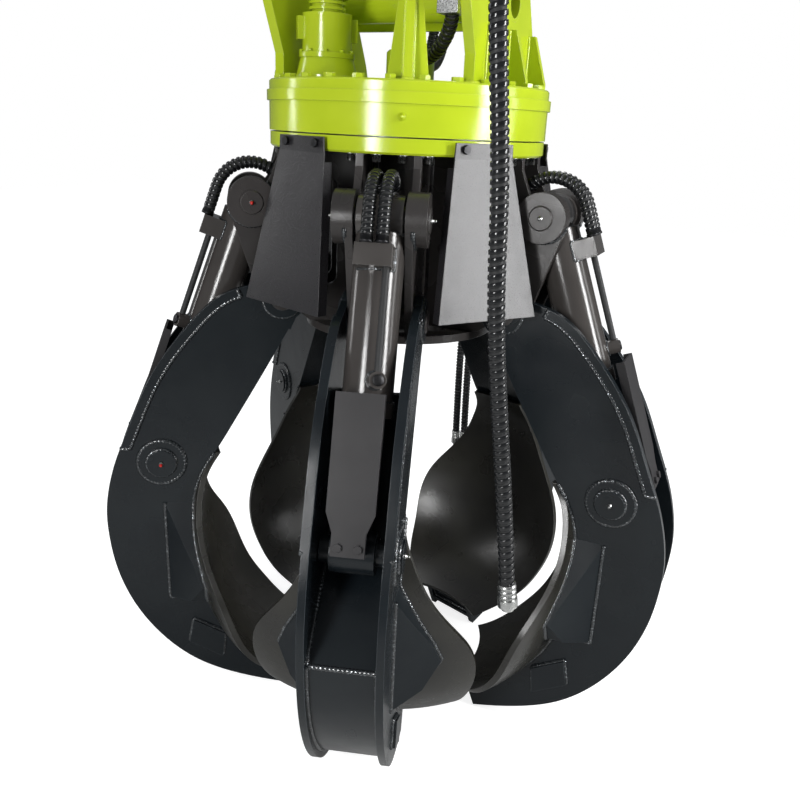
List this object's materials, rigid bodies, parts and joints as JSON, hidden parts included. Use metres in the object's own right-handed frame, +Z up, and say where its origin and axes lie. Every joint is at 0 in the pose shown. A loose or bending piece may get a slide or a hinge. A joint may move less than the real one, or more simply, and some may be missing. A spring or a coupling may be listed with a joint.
{
  "type": "orange peel grapple",
  "caption": "Slewing orange peel grapple: curved tines on a turning frame, each closed by its own hydraulic cylinder, under a two-pin head bracket.",
  "frame": {"origin": "on the stick pin axis, midway between the two ears of the head bracket", "axes": "+Z up, +X along the stick pin, +Y away from the side where the link pin sits"},
  "size_m": [1.5539, 1.6899, 2.2538],
  "materials": {
    "green_paint": "gloss enamel",
    "black_paint": "semi-gloss paint",
    "worn_plate": "semi-gloss paint",
    "machined_steel": "machined",
    "pin_steel": "turned",
    "zinc_plated": "zinc plated",
    "chromed_rod": "hard chrome",
    "hose_rubber": "matt"
  },
  "bodies": {
    "head": {"top_plate": "green_paint", "slew_drum": "green_paint", "outer_race": "machined_steel", "head_bolts": "zinc_plated", "left_ear": "green_paint", "right_ear": "green_paint", "ear_bushes": "machined_steel", "cross_tube": "green_paint", "cross_plate": "green_paint", "ear_gussets": "green_paint", "slew_gearbox": "green_paint", "slew_motor": "green_paint", "swivel_stator": "machined_steel", "main_hose": "hose_rubber", "back_hose_a": "hose_rubber", "back_hose_b": "hose_rubber", "hose_ends": "zinc_plated", "hose_ports": "zinc_plated"},
    "turning_frame": {"ring_gear": "machined_steel", "race_balls": "machined_steel", "lower_ring": "green_paint", "frame_column": "black_paint", "bottom_plate": "black_paint", "leg_lugs": "black_paint", "swivel_rotor": "machined_steel", "head_pins": "pin_steel", "tine_pins": "pin_steel", "side_covers": "black_paint", "cover_bolts": "zinc_plated"},
    "pinion": {"drive_pinion": "machined_steel"},
    "tine_1": {"tine_1_frame": "black_paint", "tine_1_petal": "worn_plate"},
    "barrel_1": {"cylinder_1_barrel": "black_paint", "cylinder_1_oil_lines": "hose_rubber"},
    "rod_1": {"cylinder_1_rod": "chromed_rod", "rod_guard_1": "black_paint"},
    "tine_2": {"tine_2_frame": "black_paint", "tine_2_petal": "worn_plate"},
    "barrel_2": {"cylinder_2_barrel": "black_paint", "cylinder_2_oil_lines": "hose_rubber"},
    "rod_2": {"cylinder_2_rod": "chromed_rod", "rod_guard_2": "black_paint"},
    "tine_3": {"tine_3_frame": "black_paint", "tine_3_petal": "worn_plate"},
    "barrel_3": {"cylinder_3_barrel": "black_paint", "cylinder_3_oil_lines": "hose_rubber"},
    "rod_3": {"cylinder_3_rod": "chromed_rod", "rod_guard_3": "black_paint"},
    "tine_4": {"tine_4_frame": "black_paint", "tine_4_petal": "worn_plate"},
    "barrel_4": {"cylinder_4_barrel": "black_paint", "cylinder_4_oil_lines": "hose_rubber"},
    "rod_4": {"cylinder_4_rod": "chromed_rod", "rod_guard_4": "black_paint"},
    "tine_5": {"tine_5_frame": "black_paint", "tine_5_petal": "worn_plate"},
    "barrel_5": {"cylinder_5_barrel": "black_paint", "cylinder_5_oil_lines": "hose_rubber"},
    "rod_5": {"cylinder_5_rod": "chromed_rod", "rod_guard_5": "black_paint"}
  },
  "joints": [
    {"name": "turntable", "type": "hinge", "parent": "head", "child": "turning_frame", "pos_m": [0, 0, -0.43], "axis": [0, 0, 1], "continuous": true},
    {"name": "pinion_spin", "type": "hinge", "parent": "head", "child": "pinion", "pos_m": [-0.15556, -0.15556, -0.41], "axis": [0, 0, 1], "continuous": true},
    {"name": "tine_1_swing", "type": "hinge", "parent": "turning_frame", "child": "tine_1", "pos_m": [0.11348, -0.3152, -0.848], "axis": [-0.9409, -0.3387, 0], "range_deg": [-2, 58]},
    {"name": "barrel_1_swing", "type": "hinge", "parent": "turning_frame", "child": "barrel_1", "pos_m": [0.13888, -0.38576, -0.602], "axis": [-0.9409, -0.3387, 0], "range_deg": [-2, 47]},
    {"name": "rod_1_slide", "type": "slide", "parent": "barrel_1", "child": "rod_1", "axis": [-0.1159, 0.322, 0.9396], "range_m": [-0.008, 0.209]},
    {"name": "tine_2_swing", "type": "hinge", "parent": "turning_frame", "child": "tine_2", "pos_m": [0.33483, 0.01052, -0.848], "axis": [0.0314, -0.9995, 0], "range_deg": [-2, 58]},
    {"name": "barrel_2_swing", "type": "hinge", "parent": "turning_frame", "child": "barrel_2", "pos_m": [0.4098, 0.01288, -0.602], "axis": [0.0314, -0.9995, 0], "range_deg": [-2, 47]},
    {"name": "rod_2_slide", "type": "slide", "parent": "barrel_2", "child": "rod_2", "axis": [-0.3421, -0.0108, 0.9396], "range_m": [-0.008, 0.209]},
    {"name": "tine_3_swing", "type": "hinge", "parent": "turning_frame", "child": "tine_3", "pos_m": [0.09346, 0.3217, -0.848], "axis": [0.9603, -0.279, 0], "range_deg": [-2, 58]},
    {"name": "barrel_3_swing", "type": "hinge", "parent": "turning_frame", "child": "barrel_3", "pos_m": [0.11439, 0.39372, -0.602], "axis": [0.9603, -0.279, 0], "range_deg": [-2, 47]},
    {"name": "rod_3_slide", "type": "slide", "parent": "barrel_3", "child": "rod_3", "axis": [-0.0955, -0.3287, 0.9396], "range_m": [-0.008, 0.209]},
    {"name": "tine_4_swing", "type": "hinge", "parent": "turning_frame", "child": "tine_4", "pos_m": [-0.27707, 0.1883, -0.848], "axis": [0.5621, 0.8271, 0], "range_deg": [-2, 58]},
    {"name": "barrel_4_swing", "type": "hinge", "parent": "turning_frame", "child": "barrel_4", "pos_m": [-0.3391, 0.23045, -0.602], "axis": [0.5621, 0.8271, 0], "range_deg": [-2, 47]},
    {"name": "rod_4_slide", "type": "slide", "parent": "barrel_4", "child": "rod_4", "axis": [0.2831, -0.1924, 0.9396], "range_m": [-0.008, 0.209]},
    {"name": "tine_5_swing", "type": "hinge", "parent": "turning_frame", "child": "tine_5", "pos_m": [-0.2647, -0.20532, -0.848], "axis": [-0.6129, 0.7902, 0], "range_deg": [-2, 58]},
    {"name": "barrel_5_swing", "type": "hinge", "parent": "turning_frame", "child": "barrel_5", "pos_m": [-0.32396, -0.25129, -0.602], "axis": [-0.6129, 0.7902, 0], "range_deg": [-2, 47]},
    {"name": "rod_5_slide", "type": "slide", "parent": "barrel_5", "child": "rod_5", "axis": [0.2705, 0.2098, 0.9396], "range_m": [-0.008, 0.209]}
  ],
  "couplings": [
    {"joint": "pinion_spin", "follows": "turntable", "ratio": 4.6667},
    {"joint": "barrel_1_swing", "follows": "tine_1_swing", "ratio": 0.79},
    {"joint": "rod_1_slide", "follows": "tine_1_swing", "m_per_rad": 0.20483},
    {"joint": "barrel_2_swing", "follows": "tine_2_swing", "ratio": 0.79},
    {"joint": "rod_2_slide", "follows": "tine_2_swing", "m_per_rad": 0.20483},
    {"joint": "barrel_3_swing", "follows": "tine_3_swing", "ratio": 0.79},
    {"joint": "rod_3_slide", "follows": "tine_3_swing", "m_per_rad": 0.20483},
    {"joint": "barrel_4_swing", "follows": "tine_4_swing", "ratio": 0.79},
    {"joint": "rod_4_slide", "follows": "tine_4_swing", "m_per_rad": 0.20483},
    {"joint": "barrel_5_swing", "follows": "tine_5_swing", "ratio": 0.79},
    {"joint": "rod_5_slide", "follows": "tine_5_swing", "m_per_rad": 0.20483}
  ]
}
